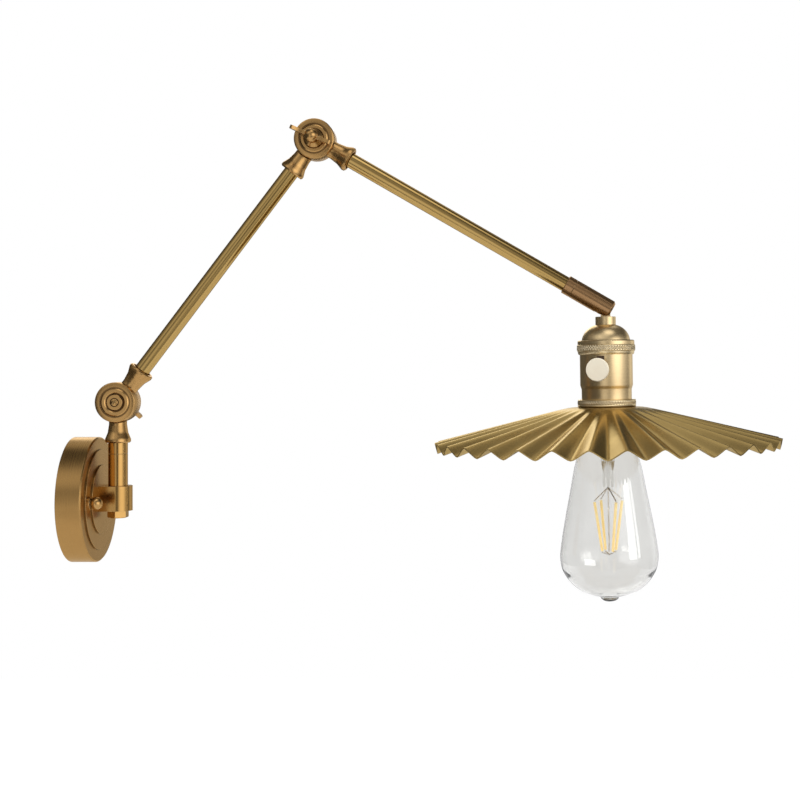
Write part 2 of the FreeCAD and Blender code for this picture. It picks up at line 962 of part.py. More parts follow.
def holder_sleeve():
    shape = tube(holder_sleeve_radius, holder_sleeve_radius - holder_sleeve_wall,
                 holder_sleeve_foot, block_foot)
    return on_head(shape)


def screw_shell():
    shape = tube(screw_shell_radius, screw_shell_radius - screw_shell_wall,
                 screw_shell_foot, block_foot)
    return on_head(shape)


def centre_contact():
    top = block_foot - contact_base_thickness
    tip = bulb_contact_top
    thick = contact_leaf_thickness
    reach = contact_leaf_reach
    base = rod(contact_base_radius, top, block_foot)
    leaf = slab_y([(reach, top), (reach - thick, top), (-reach / 2, tip + thick),
                   (-reach / 2, tip), (0, tip)], contact_leaf_width)
    return on_head(base.fuse(leaf))


def shade_ring():
    edge = shade_ring_radius - knurl_chamfer
    shape = turned([(ring_bore, shade_ring_top), (edge, shade_ring_top),
                    (shade_ring_radius, shade_ring_top - knurl_chamfer),
                    (shade_ring_radius, shade_hub_height + knurl_chamfer),
                    (edge, shade_hub_height), (ring_bore, shade_hub_height)])
    return on_head(shape)


def shade_lock_ring():
    top = shade_hub_height - shade_wall
    return on_head(tube(lock_ring_radius, ring_bore, top - lock_ring_height, top))


def pleated_loop(radius, height, depth, inset):
    # One closed zigzag: ridges at this radius and height, valleys lower and a little further in.
    points = []
    for index in range(2 * pleat_count):
        valley = index % 2 == 0
        angle = math.radians(index * half_turn / pleat_count - quarter + pleat_turn)
        reach = radius - inset if valley else radius
        rise = height - depth if valley else height
        points.append(vec(reach * math.cos(angle), reach * math.sin(angle), rise))
    return points


def sheet_between(inner, outer):
    # Triangles that join two loops. Each quadrilateral splits along the same diagonal.
    faces = []
    count = len(inner)
    for index in range(count):
        nxt = (index + 1) % count
        for corners in ((inner[index], outer[index], outer[nxt]),
                        (inner[index], outer[nxt], inner[nxt])):
            faces.append(Part.Face(Part.makePolygon(list(corners) + [corners[0]])))
    return faces


def shade():
    growth = shade_radius - pleat_start_radius
    tops = [pleated_loop(shade_hole_radius, shade_hub_height, 0, 0)]
    for radius_share, drop_share in zip(crown_radius_shares, crown_drop_shares):
        radius = crown_radius * radius_share
        grown = max(radius - pleat_start_radius, 0) / growth
        height = shade_hub_height - crown_drop * drop_share
        tops.append(pleated_loop(radius, height, pleat_depth * grown, 0))
    tops.append(pleated_loop(shade_radius, shade_rim_height, pleat_depth, pleat_inset))
    drop = vec(0, 0, -shade_wall)
    bottoms = [[point + drop for point in loop] for loop in tops]
    faces = []
    for loops in (tops, bottoms):
        for inner, outer in zip(loops[:-1], loops[1:]):
            faces += sheet_between(inner, outer)
    faces += sheet_between(tops[0], bottoms[0])
    faces += sheet_between(tops[-1], bottoms[-1])
    solid = Part.makeSolid(Part.makeShell(faces))
    if solid.Volume < 0:
        solid.reverse()
    return on_head(solid)


# Bulb

def bulb_contact():
    return on_head(rod(bulb_contact_radius, bulb_contact_top - bulb_contact_height,
                       bulb_contact_top))


def insulator_top():
    return bulb_contact_top - bulb_contact_height


def cap_crown():
    return insulator_top() - bulb_insulator_height


def bulb_insulator():
    shape = turned([(0, insulator_top()), (bulb_contact_radius, insulator_top()),
                    (bulb_insulator_low_radius, cap_crown()), (0, cap_crown())])
    return on_head(shape)


def bulb_cap():
    wall = bulb_cap_wall
    inner = bulb_cap_radius - wall
    crown = cap_crown()
    shape = turned([(0, crown), (bulb_insulator_low_radius, crown),
                    (bulb_cap_radius, bulb_cap_shoulder), (bulb_cap_radius, bulb_cap_foot),
                    (inner, bulb_cap_foot), (inner, bulb_cap_shoulder),
                    (bulb_insulator_low_radius - wall, crown - wall), (0, crown - wall)])
    return on_head(shape)


def envelope_points(inset):
    # From the neck down. The inner face has the same shape, smaller by the wall.
    points = [(glass_neck_radius - inset, bulb_cap_foot)]
    length = glass_foot + inset - bulb_cap_foot
    for radius_share, height_share in zip(glass_radius_shares, glass_height_shares):
        points.append(((glass_radius - inset) * radius_share,
                       bulb_cap_foot + length * height_share))
    return points


def arc_steps(points):
    # Arcs through each pair of points that follow the first one.
    return list(zip(points[1::2], points[2::2]))


def glass_envelope():
    # The closed nub at the pole is part of the same turned outline.
    outer = envelope_points(0)
    inner = envelope_points(glass_wall)
    return on_head(turned(
        [(glass_neck_radius, glass_top), outer[0]] + arc_steps(outer)
        + [(nub_radius, glass_foot), cap_step(nub_radius, glass_foot, nub_foot),
           (0, glass_foot + glass_wall), inner[-1]] + arc_steps(inner[::-1])
        + [(glass_neck_radius - glass_wall, glass_top)]))


def glass_stem():
    top = bulb_cap_foot
    tube_top = top - stem_flare_height
    inner = stem_tube_radius - stem_tube_wall
    flare = glass_neck_radius - glass_wall - slip_gap
    shape = turned([
        (flare - stem_tube_wall, top), (flare, top), (stem_tube_radius, tube_top),
        (stem_tube_radius, stem_pinch_top), (stem_pinch_radius, stem_pinch_top - stem_flare_height),
        (stem_pinch_radius, stem_pinch_foot), (0, stem_pinch_foot), (0, stem_pinch_top),
        (inner, stem_pinch_top), (inner, tube_top)])
    return on_head(shape)


def spoke(angle, start, end, radius):
    # A thin rod between two (reach, height) points in the half plane at this angle.
    turn = math.radians(angle)
    ends = []
    for reach, height in (start, end):
        ends.append(vec(reach * math.cos(turn), reach * math.sin(turn), height))
    length = (ends[1] - ends[0]).Length
    return Part.makeCylinder(radius, length, ends[0], ends[1] - ends[0])


def filament_angles():
    step = full_turn / filament_count
    return [filament_turn + step * index for index in range(filament_count)]


def support_frame():
    shape = rod(support_wire_radius, support_wire_foot, stem_pinch_foot)
    wire = spider_wire_radius
    drop = filament_radius
    for angle in filament_angles():
        upper = spoke(angle, (0, stem_pinch_foot - wire), (filament_top_reach, filament_top + drop),
                      wire)
        lower = spoke(angle, (0, support_wire_foot + wire),
                      (filament_foot_reach, filament_foot - drop), wire)
        shape = shape.fuse(upper).fuse(lower)
    return on_head(shape)


def filament(index):
    shape = spoke(filament_angles()[index], (filament_top_reach, filament_top),
                  (filament_foot_reach, filament_foot), filament_radius)
    return on_head(shape)


def all_nodes():
    nodes = {
        "canopy": canopy(), "mounting_strap": mounting_strap(), "earth_screw": earth_screw(),
        "bracket": bracket(), "fixing_nipple": fixing_nipple(),
        "fixing_lock_washer": fixing_lock_washer(), "fixing_nut": fixing_nut(),
        "post_stem": post_stem(), "post_nut": post_nut(),
        "swivel_collar": swivel_collar(), "post_knuckle": post_knuckle(),
        "lower_friction_ring": lower_friction_ring(),
        "lower_arm_foot_knuckle": lower_arm_foot_knuckle(),
        "lower_arm_foot_nipple": lower_arm_foot_nipple(), "lower_arm_tube": lower_arm_tube(),
        "lower_arm_top_nipple": lower_arm_top_nipple(),
        "lower_arm_top_knuckle": lower_arm_top_knuckle(),
        "lower_pivot_bolt": lower_pivot_bolt(), "upper_pivot_bolt": upper_pivot_bolt(),
        "upper_friction_ring": upper_friction_ring(),
        "lower_wing_nut": lower_wing_nut(), "upper_wing_nut": upper_wing_nut(),
        "upper_arm_knuckle": upper_arm_knuckle(), "upper_arm_nipple": upper_arm_nipple(),
        "upper_arm_tube": upper_arm_tube(), "sleeve_base_ring": sleeve_base_ring(),
        "end_sleeve": end_sleeve(), "head_tilt_pin": head_tilt_pin(),
        "head_tongue": head_tongue(), "cap_lock_nut": cap_lock_nut(),
        "socket_cap": socket_cap(), "cap_ring": cap_ring(), "socket_shell": socket_shell(),
        "shell_liner": shell_liner(), "switch_block": switch_block(),
        "switch_stem": switch_stem(), "switch_knob": switch_knob(),
        "holder_sleeve": holder_sleeve(), "screw_shell": screw_shell(),
        "centre_contact": centre_contact(), "shade_ring": shade_ring(),
        "shade_lock_ring": shade_lock_ring(), "shade": shade(),
        "bulb_contact": bulb_contact(), "bulb_insulator": bulb_insulator(),
        "bulb_cap": bulb_cap(), "bulb_glass": glass_envelope(), "bulb_stem": glass_stem(),
        "bulb_support_wires": support_frame(),
    }
    for index, side in enumerate((-1, 1)):
        nodes["canopy_stud_%d" % (index + 1)] = canopy_stud(side)
        nodes["ball_nut_%d" % (index + 1)] = ball_nut(side)
        nodes["terminal_screw_%d" % (index + 1)] = terminal_screw(side)
    for index in range(filament_count):
        nodes["filament_%d" % (index + 1)] = filament(index)
    return nodes


os.makedirs("parts", exist_ok=True)
for name, shape in all_nodes().items():
    shape.exportStep("parts/" + name + ".step")
    print(name, "solids", len(shape.Solids), "valid", shape.isValid(), round(shape.Volume, 2))
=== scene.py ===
import bpy
import bmesh
import json
import math
from mathutils import Matrix, Vector

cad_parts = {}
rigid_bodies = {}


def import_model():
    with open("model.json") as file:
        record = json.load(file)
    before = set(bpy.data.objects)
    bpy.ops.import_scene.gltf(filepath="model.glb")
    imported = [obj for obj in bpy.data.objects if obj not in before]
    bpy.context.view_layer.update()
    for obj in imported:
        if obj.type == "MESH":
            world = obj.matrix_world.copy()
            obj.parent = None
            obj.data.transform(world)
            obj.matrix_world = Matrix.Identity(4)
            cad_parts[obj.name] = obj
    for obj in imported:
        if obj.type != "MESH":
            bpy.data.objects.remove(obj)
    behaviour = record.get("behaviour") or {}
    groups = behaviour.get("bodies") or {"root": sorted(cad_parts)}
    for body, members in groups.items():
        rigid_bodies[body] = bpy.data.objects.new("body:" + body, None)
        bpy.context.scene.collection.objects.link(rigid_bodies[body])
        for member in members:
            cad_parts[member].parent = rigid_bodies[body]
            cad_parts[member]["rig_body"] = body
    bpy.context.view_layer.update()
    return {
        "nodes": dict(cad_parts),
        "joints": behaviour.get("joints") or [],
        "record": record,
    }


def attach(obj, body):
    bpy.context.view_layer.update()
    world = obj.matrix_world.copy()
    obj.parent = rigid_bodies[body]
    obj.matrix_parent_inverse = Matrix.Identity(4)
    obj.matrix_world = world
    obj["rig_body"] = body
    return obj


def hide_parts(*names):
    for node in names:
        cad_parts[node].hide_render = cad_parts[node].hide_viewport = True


# A swing-arm wall lamp in satin brass. Metres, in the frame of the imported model.

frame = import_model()
nodes = frame["nodes"]
joints = {joint["name"]: joint for joint in frame["joints"]}
mm = 0.001
print("frame loaded:", len(nodes), "nodes")

# Camera, looking straight at the arms' plane, with its shift for the photograph's framing
view = {"lens": 63.24, "sensor": 36.0, "place": (0.29, -0.915, 0.086),
        "shift": (-0.1506, -0.0411), "pitch": 90, "near": 0.01, "far": 50}


def linked(item):
    bpy.context.scene.collection.objects.link(item)
    return item


cameraData = bpy.data.cameras.new("camera")
cameraData.lens = view["lens"]
cameraData.sensor_width = view["sensor"]
cameraData.shift_x, cameraData.shift_y = view["shift"]
cameraData.clip_start = view["near"]
cameraData.clip_end = view["far"]
camera = linked(bpy.data.objects.new("camera", cameraData))
camera.location = view["place"]
camera.rotation_euler = (math.radians(view["pitch"]), 0, 0)
bpy.context.scene.camera = camera
bpy.context.scene.view_settings.view_transform = "Standard"
print("camera made")

# Where the lamp head and the arms stand
headPin = Vector(joints["head_tilt"]["pos_m"])
lowerPivot = Vector(joints["lower_arm_hinge"]["pos_m"])
upperPivot = Vector(joints["upper_arm_hinge"]["pos_m"])
headLean = math.radians(-0.9)
headPlace = Matrix.Translation(headPin) @ Matrix.Rotation(headLean, 4, "Y")
lowerArm = upperPivot - lowerPivot
upperArm = headPin - upperPivot


# Node helpers, for materials and geometry alike

def wire(tree, value, socket):
    if isinstance(value, bpy.types.NodeSocket):
        tree.links.new(value, socket)
    else:
        socket.default_value = value


def calc(tree, operation, first, second=0.0, third=None):
    node = tree.nodes.new("ShaderNodeMath")
    node.operation = operation
    wire(tree, first, node.inputs[0])
    wire(tree, second, node.inputs[1])
    if third is not None:
        wire(tree, third, node.inputs[2])
    return node.outputs[0]


def vectorCalc(tree, operation, first, second=None):
    node = tree.nodes.new("ShaderNodeVectorMath")
    node.operation = operation
    wire(tree, first, node.inputs[0])
    if second is not None:
        wire(tree, second, node.inputs[1])
    return node.outputs["Value" if operation in ("DOT_PRODUCT", "LENGTH") else "Vector"]


def between(tree, value, fromLow, fromHigh, toLow, toHigh):
    node = tree.nodes.new("ShaderNodeMapRange")
    node.interpolation_type = "SMOOTHSTEP"
    wire(tree, value, node.inputs["Value"])
    for label, amount in (("From Min", fromLow), ("From Max", fromHigh),
                          ("To Min", toLow), ("To Max", toHigh)):
        wire(tree, amount, node.inputs[label])
    return node.outputs["Result"]


def blendColours(tree, share, first, second, how="MIX"):
    node = tree.nodes.new("ShaderNodeMix")
    node.data_type = "RGBA"
    node.blend_type = how
    wire(tree, share, node.inputs[0])
    wire(tree, first, node.inputs[6])
    wire(tree, second, node.inputs[7])
    return node.outputs[2]


def greyColour(tree, level):
    node = tree.nodes.new("ShaderNodeCombineColor")
    for socket in node.inputs[:3]:
        tree.links.new(level, socket)
    return node.outputs[0]


def noise(tree, vector, scale, detail=3.0, roughness=0.5):
    node = tree.nodes.new("ShaderNodeTexNoise")
    wire(tree, vector, node.inputs["Vector"])
    node.inputs["Scale"].default_value = scale
    node.inputs["Detail"].default_value = detail
    node.inputs["Roughness"].default_value = roughness
    return node.outputs["Fac"]


def placedCoordinates(tree, centre, turn):
    # Object coordinates, moved to the piece's own middle and turned so that Z is its axis
    texture = tree.nodes.new("ShaderNodeTexCoord")
    move = tree.nodes.new("ShaderNodeMapping")
    move.vector_type = "TEXTURE"
    move.inputs["Location"].default_value = centre
    move.inputs["Rotation"].default_value = turn
    tree.links.new(texture.outputs["Object"], move.inputs["Vector"])
    return move.outputs["Vector"]


def fromAxis(tree, vector):
    # Distance from the piece's own axis
    return vectorCalc(tree, "LENGTH", vectorCalc(tree, "MULTIPLY", vector, (1, 1, 0)))


def turnedGrain(tree, vector, fine):
    # Fine lathe lines: the pattern changes with height and radius, and hardly round the axis
    split = tree.nodes.new("ShaderNodeSeparateXYZ")
    tree.links.new(vector, split.inputs[0])
    radius = fromAxis(tree, vector)
    angle = calc(tree, "ARCTAN2", split.outputs[1], split.outputs[0])
    join = tree.nodes.new("ShaderNodeCombineXYZ")
    wire(tree, calc(tree, "MULTIPLY", radius, fine), join.inputs[0])
    wire(tree, calc(tree, "MULTIPLY", split.outputs[2], fine), join.inputs[1])
    wire(tree, calc(tree, "MULTIPLY", calc(tree, "SINE", angle), grainSizes["aroundReach"]),
         join.inputs[2])
    return join.outputs[0]


def scaledGrain(tree, vector, scale):
    stretch = tree.nodes.new("ShaderNodeMapping")
    stretch.inputs["Scale"].default_value = scale
    tree.links.new(vector, stretch.inputs["Vector"])
    return stretch.outputs["Vector"]


def drawnGrain(tree, vector, fine):
    # Long streaks along the piece's axis, as a drawn tube has
    return scaledGrain(tree, vector, (fine, fine, fine * grainSizes["drawnShare"]))


def plainGrain(tree, vector, fine):
    return scaledGrain(tree, vector, (fine, fine, fine))


grains = {"turned": turnedGrain, "drawn": drawnGrain, "plain": plainGrain}
grainSizes = {"aroundReach": 0.9, "drawnShare": 0.005}


def addRelief(tree, shader, height, strength, depth, normal=None):
    relief = tree.nodes.new("ShaderNodeBump")
    relief.inputs["Strength"].default_value = strength
    relief.inputs["Distance"].default_value = depth * mm
    tree.links.new(height, relief.inputs["Height"])
    if normal is not None:
        tree.links.new(normal, relief.inputs["Normal"])
    tree.links.new(relief.outputs["Normal"], shader.inputs["Normal"])


def newMaterial(name):
    material = bpy.data.materials.new(name)
    material.use_nodes = True
    return material, material.node_tree, material.node_tree.nodes["Principled BSDF"]


def groovedColour(tree, vector, look, colour):
    # Painted shade on the ground between the bright tips of a knurl, told apart by the distance from
    # the axis
    low, high = look["groove"]
    groundShade = between(tree, fromAxis(tree, vector), low * mm, high * mm, 1.0, 0.0)
    return blendColours(tree, groundShade, colour, (*look["groundShade"], 1), "MULTIPLY")


def ringedColour(tree, vector, look, colour):
    # Painted shade in and beside the round grooves of the knuckles' faces: dark rings at the
    # grooves' radii
    split = tree.nodes.new("ShaderNodeSeparateXYZ")
    tree.links.new(vector, split.inputs[0])
    outside = calc(tree, "ABSOLUTE", split.outputs[2])
    low, high = look["face"]
    face = between(tree, outside, low * mm, high * mm, 0.0, 1.0)
    distance = fromAxis(tree, vector)
    for radius, width, share in look["rings"]:
        away = calc(tree, "SUBTRACT", distance, radius * mm)
        ring = between(tree, calc(tree, "ABSOLUTE", away), look["fullShare"] * width * mm,
                       width * mm, share, 0.0)
        colour = blendColours(tree, calc(tree, "MULTIPLY", ring, face), colour,
                              (*look["polish"], 1))
    return colour


# What every brass finish shares: where each pattern starts and ends, and how far it reaches
brassRanges = {"cloud": (0.35, 0.68), "cloudDetail": 3.0, "cloudRoughness": 0.55,
               "open": (0.35, 0.9), "wornAndGlinting": (0.80, 0.985), "streak": (0.3, 0.7),
               "gloss": (0.25, 0.75), "glossReach": 0.04, "tarnishGloss": 0.12,
               "lineDetail": 2.0, "lineRoughness": 0.5, "reliefDepth": 0.06, "samples": 8}


def brass(name, look, centre=(0, 0, 0), turn=(0, 0, 0)):
    # Satin brass: fine grain, a slow tarnish, recesses darkened by dirt and painted shade, and edges
    # brightened by wear and a painted highlight
    material, tree, shader = newMaterial(name)
    vector = placedCoordinates(tree, centre, turn)
    lines = noise(tree, grains[look["grain"]](tree, vector, look["fine"]), 1.0,
                  brassRanges["lineDetail"], brassRanges["lineRoughness"])
    cloud = noise(tree, vector, look["tarnishScale"], brassRanges["cloudDetail"],
                  brassRanges["cloudRoughness"])
    tarnish = between(tree, cloud, *brassRanges["cloud"], 0.0, look["tarnish"])
    colour = blendColours(tree, tarnish, (*look["colour"], 1), (*look["aged"], 1))
    edge = tree.nodes.new("ShaderNodeBevel")
    edge.samples = brassRanges["samples"]
    edge.inputs["Radius"].default_value = look["edge"] * mm
    surface = tree.nodes.new("ShaderNodeNewGeometry")
    match = vectorCalc(tree, "DOT_PRODUCT", edge.outputs["Normal"], surface.outputs["Normal"])
    # Painted shade in recesses, together with their dirt: ambient occlusion finds them and the
    # colour darkens there
    hollow = tree.nodes.new("ShaderNodeAmbientOcclusion")
    hollow.samples = brassRanges["samples"]
    hollow.only_local = True
    hollow.inputs["Distance"].default_value = look["recess"] * mm
    openness = between(tree, hollow.outputs["AO"], *brassRanges["open"], 0.0, 1.0)
    # Worn edges and a painted highlight: where the bevelled normal turns from the surface's, the
    # colour is mixed towards a brighter one, less so in recesses
    wornAndGlinting = between(tree, match, *brassRanges["wornAndGlinting"], look["wearAndHighlight"], 0.0)
    wornAndGlinting = calc(tree, "MULTIPLY", wornAndGlinting, openness)
    colour = blendColours(tree, wornAndGlinting, colour, (*look["bright"], 1))
    dark = between(tree, lines, *brassRanges["streak"], 1.0 - look["streak"], 1.0)
    dark = calc(tree, "MULTIPLY", dark, between(tree, openness, 0.0, 1.0, look["dirtAndPaintedShade"], 1.0))
    colour = blendColours(tree, 1.0, colour, greyColour(tree, dark), "MULTIPLY")
    if "rings" in look:
        colour = ringedColour(tree, vector, look, colour)
    if "groove" in look:
        colour = groovedColour(tree, vector, look, colour)
    tree.links.new(colour, shader.inputs["Base Color"])
    shader.inputs["Metallic"].default_value = 1.0
    shader.inputs["Specular Tint"].default_value = (*look["rim"], 1)
    reach = brassRanges["glossReach"]
    gloss = between(tree, lines, *brassRanges["gloss"], look["rough"] - reach,
                    look["rough"] + reach)
    gloss = calc(tree, "MULTIPLY_ADD", tarnish, brassRanges["tarnishGloss"], gloss)
    tree.links.new(gloss, shader.inputs["Roughness"])
    addRelief(tree, shader, lines, look["relief"], brassRanges["reliefDepth"],
              edge.outputs["Normal"])
    return material


castLook = {"colour": (0.50, 0.295, 0.11), "aged": (0.40, 0.22, 0.07), "tarnish": 0.3,
            "tarnishScale": 45.0, "grain": "plain", "fine": 900.0, "streak": 0.04,
            "rough": 0.24, "relief": 0.01, "edge": 0.2, "rim": (0.95, 0.85, 0.68),
            "bright": (0.85, 0.66, 0.38), "wearAndHighlight": 0.8, "recess": 1.6, "dirtAndPaintedShade": 0.25}
# Knuckle faces: painted shade in dark rings at their grooves
knuckleLook = {**castLook, "face": (6.6, 6.8), "fullShare": 0.45, "polish": (0.10, 0.05, 0.02),
               "rings": [(9.5, 0.8, 0.6), (5.5, 0.75, 0.9), (2.6, 0.55, 0.85)]}
plateLook = {**castLook, "colour": (0.42, 0.245, 0.085), "aged": (0.37, 0.20, 0.065),
             "tarnishScale": 35.0, "grain": "turned", "fine": 7000.0, "rough": 0.28,
             "edge": 0.3, "recess": 2.2, "bright": (0.80, 0.60, 0.30)}
barLook = {**castLook, "colour": (0.42, 0.245, 0.08), "aged": (0.36, 0.20, 0.06),
           "grain": "drawn", "fine": 3800.0, "rough": 0.16, "relief": 0.02, "dirtAndPaintedShade": 0.4}
tubeLook = {**castLook, "colour": (0.50, 0.33, 0.115), "aged": (0.43, 0.27, 0.085),
            "tarnishScale": 12.0, "grain": "drawn", "fine": 3600.0, "rough": 0.15,
            "relief": 0.02, "dirtAndPaintedShade": 0.5}
sleeveLook = {**castLook, "colour": (0.42, 0.245, 0.115), "aged": (0.34, 0.185, 0.08),
              "tarnishScale": 30.0, "grain": "drawn", "fine": 3400.0, "rough": 0.25,
              "dirtAndPaintedShade": 0.4}
socketLook = {**castLook, "colour": (0.80, 0.61, 0.34), "aged": (0.70, 0.49, 0.23),
              "tarnish": 0.25, "tarnishScale": 25.0, "grain": "turned", "fine": 9000.0,
              "streak": 0.03, "rough": 0.30, "relief": 0.012, "rim": (0.97, 0.92, 0.80),
              "bright": (0.95, 0.80, 0.52), "dirtAndPaintedShade": 0.35}
# Knurl: the ground between its tips is painted in shade
knurlLook = {**socketLook, "colour": (0.97, 0.83, 0.58), "aged": (0.90, 0.74, 0.48),
             "grain": "plain", "fine": 1500.0, "edge": 0.05, "recess": 0.5, "dirtAndPaintedShade": 0.7,
             "groove": (18.79, 18.86), "groundShade": (0.40, 0.30, 0.20)}
shadeLook = {**castLook, "colour": (0.43, 0.30, 0.11), "aged": (0.36, 0.24, 0.08),
             "tarnish": 0.4, "tarnishScale": 22.0, "grain": "turned", "fine": 5200.0,
             "streak": 0.10, "rough": 0.26, "relief": 0.04, "rim": (0.92, 0.84, 0.66),
             "bright": (0.85, 0.70, 0.42), "wearAndHighlight": 0.3, "recess": 2.2, "dirtAndPaintedShade": 0.5}

headCentre = tuple(headPin)
headTurn = (0, headLean, 0)
acrossWall = (0, math.radians(90), 0)
acrossArms = (math.radians(90), 0, 0)
lowerTurn = (0, math.atan2(lowerArm.x, lowerArm.z), 0)
upperTurn = (0, math.atan2(upperArm.x, upperArm.z), 0)
postCentre = (lowerPivot.x, 0, 0)

castBrass = brass("castBrass", castLook)
lowerKnuckleBrass = brass("lowerKnuckleBrass", knuckleLook, tuple(lowerPivot), acrossArms)
upperKnuckleBrass = brass("upperKnuckleBrass", knuckleLook, tuple(upperPivot), acrossArms)
plateBrass = brass("plateBrass", plateLook, (0, 0, 0), acrossWall)
postBrass = brass("postBrass", barLook, postCentre)
lowerTubeBrass = brass("lowerTubeBrass", tubeLook, tuple(lowerPivot), lowerTurn)
upperTubeBrass = brass("upperTubeBrass", tubeLook, tuple(upperPivot), upperTurn)
sleeveBrass = brass("sleeveBrass", sleeveLook, tuple(upperPivot), upperTurn)
socketBrass = brass("socketBrass", socketLook, headCentre, headTurn)
knurlBrass = brass("knurlBrass", knurlLook, headCentre, headTurn)
# A near-black copy of the sleeve's brass, painted as the shade in the sleeve's seam
seamShadeBrass = brass("seamShadeBrass", {**sleeveLook, "colour": (0.12, 0.07, 0.03)},
                  tuple(upperPivot), upperTurn)
ringBrass = brass("ringBrass", {**socketLook, "colour": (0.92, 0.75, 0.46)}, headCentre, headTurn)
shadeBrass = brass("shadeBrass", shadeLook, headCentre, headTurn)
print("brass finishes made")


# Plain finishes of the small pieces: two close colours, and fine specks for the relief. The
# filaments' weak glow stands in for the light that the bulb's glass keeps from them.
plainRanges = {"cloudScale": 120.0, "cloud": (0.3, 0.7), "cloudDetail": 3.0,
               "speckScale": 1400.0, "speckDetail": 2.0, "speckRoughness": 0.7,
               "glossReach": 0.08, "reliefDepth": 0.05}


def plainFinish(name, look):
    material, tree, shader = newMaterial(name)
    vector = placedCoordinates(tree, (0, 0, 0), (0, 0, 0))
    cloud = noise(tree, vector, plainRanges["cloudScale"], plainRanges["cloudDetail"])
    specks = noise(tree, vector, plainRanges["speckScale"], plainRanges["speckDetail"],
                   plainRanges["speckRoughness"])
    share = between(tree, cloud, *plainRanges["cloud"], 0.0, 1.0)
    colour = blendColours(tree, share, (*look["colour"], 1), (*look["second"], 1))
    tree.links.new(colour, shader.inputs["Base Color"])
    shader.inputs["Metallic"].default_value = look.get("metal", 0.0)
    gloss = between(tree, cloud, *plainRanges["cloud"], look["rough"],
                    look["rough"] + plainRanges["glossReach"])
    tree.links.new(gloss, shader.inputs["Roughness"])
    tree.links.new(colour, shader.inputs["Emission Color"])
    shader.inputs["Emission Strength"].default_value = look.get("glow", 0.0)
    addRelief(tree, shader, specks, look["relief"], plainRanges["reliefDepth"])
    return material


plainLooks = {
    "knobCream": {"colour": (0.84, 0.77, 0.62), "second": (0.81, 0.73, 0.58), "rough": 0.28,
                  "relief": 0.05},
    "blackMoulding": {"colour": (0.022, 0.018, 0.016), "second": (0.035, 0.028, 0.024),
                      "rough": 0.35, "relief": 0.1},
    "fibreBoard": {"colour": (0.10, 0.06, 0.035), "second": (0.07, 0.045, 0.03), "rough": 0.7,
                   "relief": 0.3},
    "zincSteel": {"colour": (0.60, 0.60, 0.58), "second": (0.50, 0.50, 0.49), "rough": 0.32,
                  "relief": 0.12, "metal": 1.0},
    "nickelWire": {"colour": (0.62, 0.58, 0.52), "second": (0.5, 0.46, 0.41), "rough": 0.25,
                   "relief": 0.05, "metal": 1.0},
    "bulbCapMetal": {"colour": (0.72, 0.60, 0.36), "second": (0.62, 0.49, 0.28), "rough": 0.28,
                     "relief": 0.1, "metal": 1.0},
    "filamentYellow": {"colour": (0.99, 0.76, 0.34), "second": (0.96, 0.69, 0.25), "rough": 0.5,
                       "relief": 0.2, "glow": 0.45},
}
plain = {name: plainFinish(name, look) for name, look in plainLooks.items()}

glassLook = {"tint": (0.82, 0.815, 0.80), "second": (0.875, 0.875, 0.865), "waveScale": 30.0,
             "waveDetail": 2.0, "bending": 1.5, "relief": 0.03, "reliefDepth": 0.4}


def glass(name, look):
    material, tree, shader = newMaterial(name)
    vector = placedCoordinates(tree, (0, 0, 0), (0, 0, 0))
    waves = noise(tree, vector, look["waveScale"], look["waveDetail"])
    colour = blendColours(tree, waves, (*look["tint"], 1), (*look["second"], 1))
    tree.links.new(colour, shader.inputs["Base Color"])
    shader.inputs["Transmission Weight"].default_value = 1.0
    shader.inputs["IOR"].default_value = look["bending"]
    shader.inputs["Roughness"].default_value = 0.0
    addRelief(tree, shader, waves, look["relief"], look["reliefDepth"])
    return material


clearGlass = glass("clearGlass", glassLook)
print("other finishes made")


# Geometry Nodes helpers

def newTree(name, sizes):
    tree = bpy.data.node_groups.new(name, "GeometryNodeTree")
    face = tree.interface
    face.new_socket("Geometry", in_out="OUTPUT", socket_type="NodeSocketGeometry")
    for label, value in sizes.items():
        kind = "NodeSocketInt" if isinstance(value, int) else "NodeSocketFloat"
        face.new_socket(label, in_out="INPUT", socket_type=kind)
    face.new_socket("Material", in_out="INPUT", socket_type="NodeSocketMaterial")
    return tree, tree.nodes.new("NodeGroupInput"), tree.nodes.new("NodeGroupOutput")


def endTree(tree, given, result, geometry):
    realize = tree.nodes.new("GeometryNodeRealizeInstances")
    paint = tree.nodes.new("GeometryNodeSetMaterial")
    tree.links.new(geometry, realize.inputs[0])
    tree.links.new(realize.outputs[0], paint.inputs["Geometry"])
    tree.links.new(given.outputs["Material"], paint.inputs["Material"])
    tree.links.new(paint.outputs[0], result.inputs[0])


def plainMesh(holder, name):
    # The evaluated object as a plain mesh of its own, with the holder removed
    graph = bpy.context.evaluated_depsgraph_get()
    mesh = bpy.data.meshes.new_from_object(holder.evaluated_get(graph), depsgraph=graph)
    mesh.name = name
    old = holder.data
    bpy.data.objects.remove(holder)
    if old.users == 0:
        bpy.data.meshes.remove(old)
    return linked(bpy.data.objects.new(name, mesh))


def grown(name, tree, sizes, material):
    holder = linked(bpy.data.objects.new(name + "Holder", bpy.data.meshes.new(name + "Holder")))
    modifier = holder.modifiers.new("grow", "NODES")
    modifier.node_group = tree
    for item in tree.interface.items_tree:
        if item.in_out != "INPUT":
            continue
        modifier[item.identifier] = material if item.name == "Material" else sizes[item.name]
    return plainMesh(holder, name)


# Angles in degrees above which an edge stays sharp, and distances under which points merge
sharpAngles = {"turned": 30.0, "shade": 40.0, "glass": 60.0, "solid": 28.0}
mergeDistances = {"piece": 0.002 * mm, "sheet": 0.01 * mm}


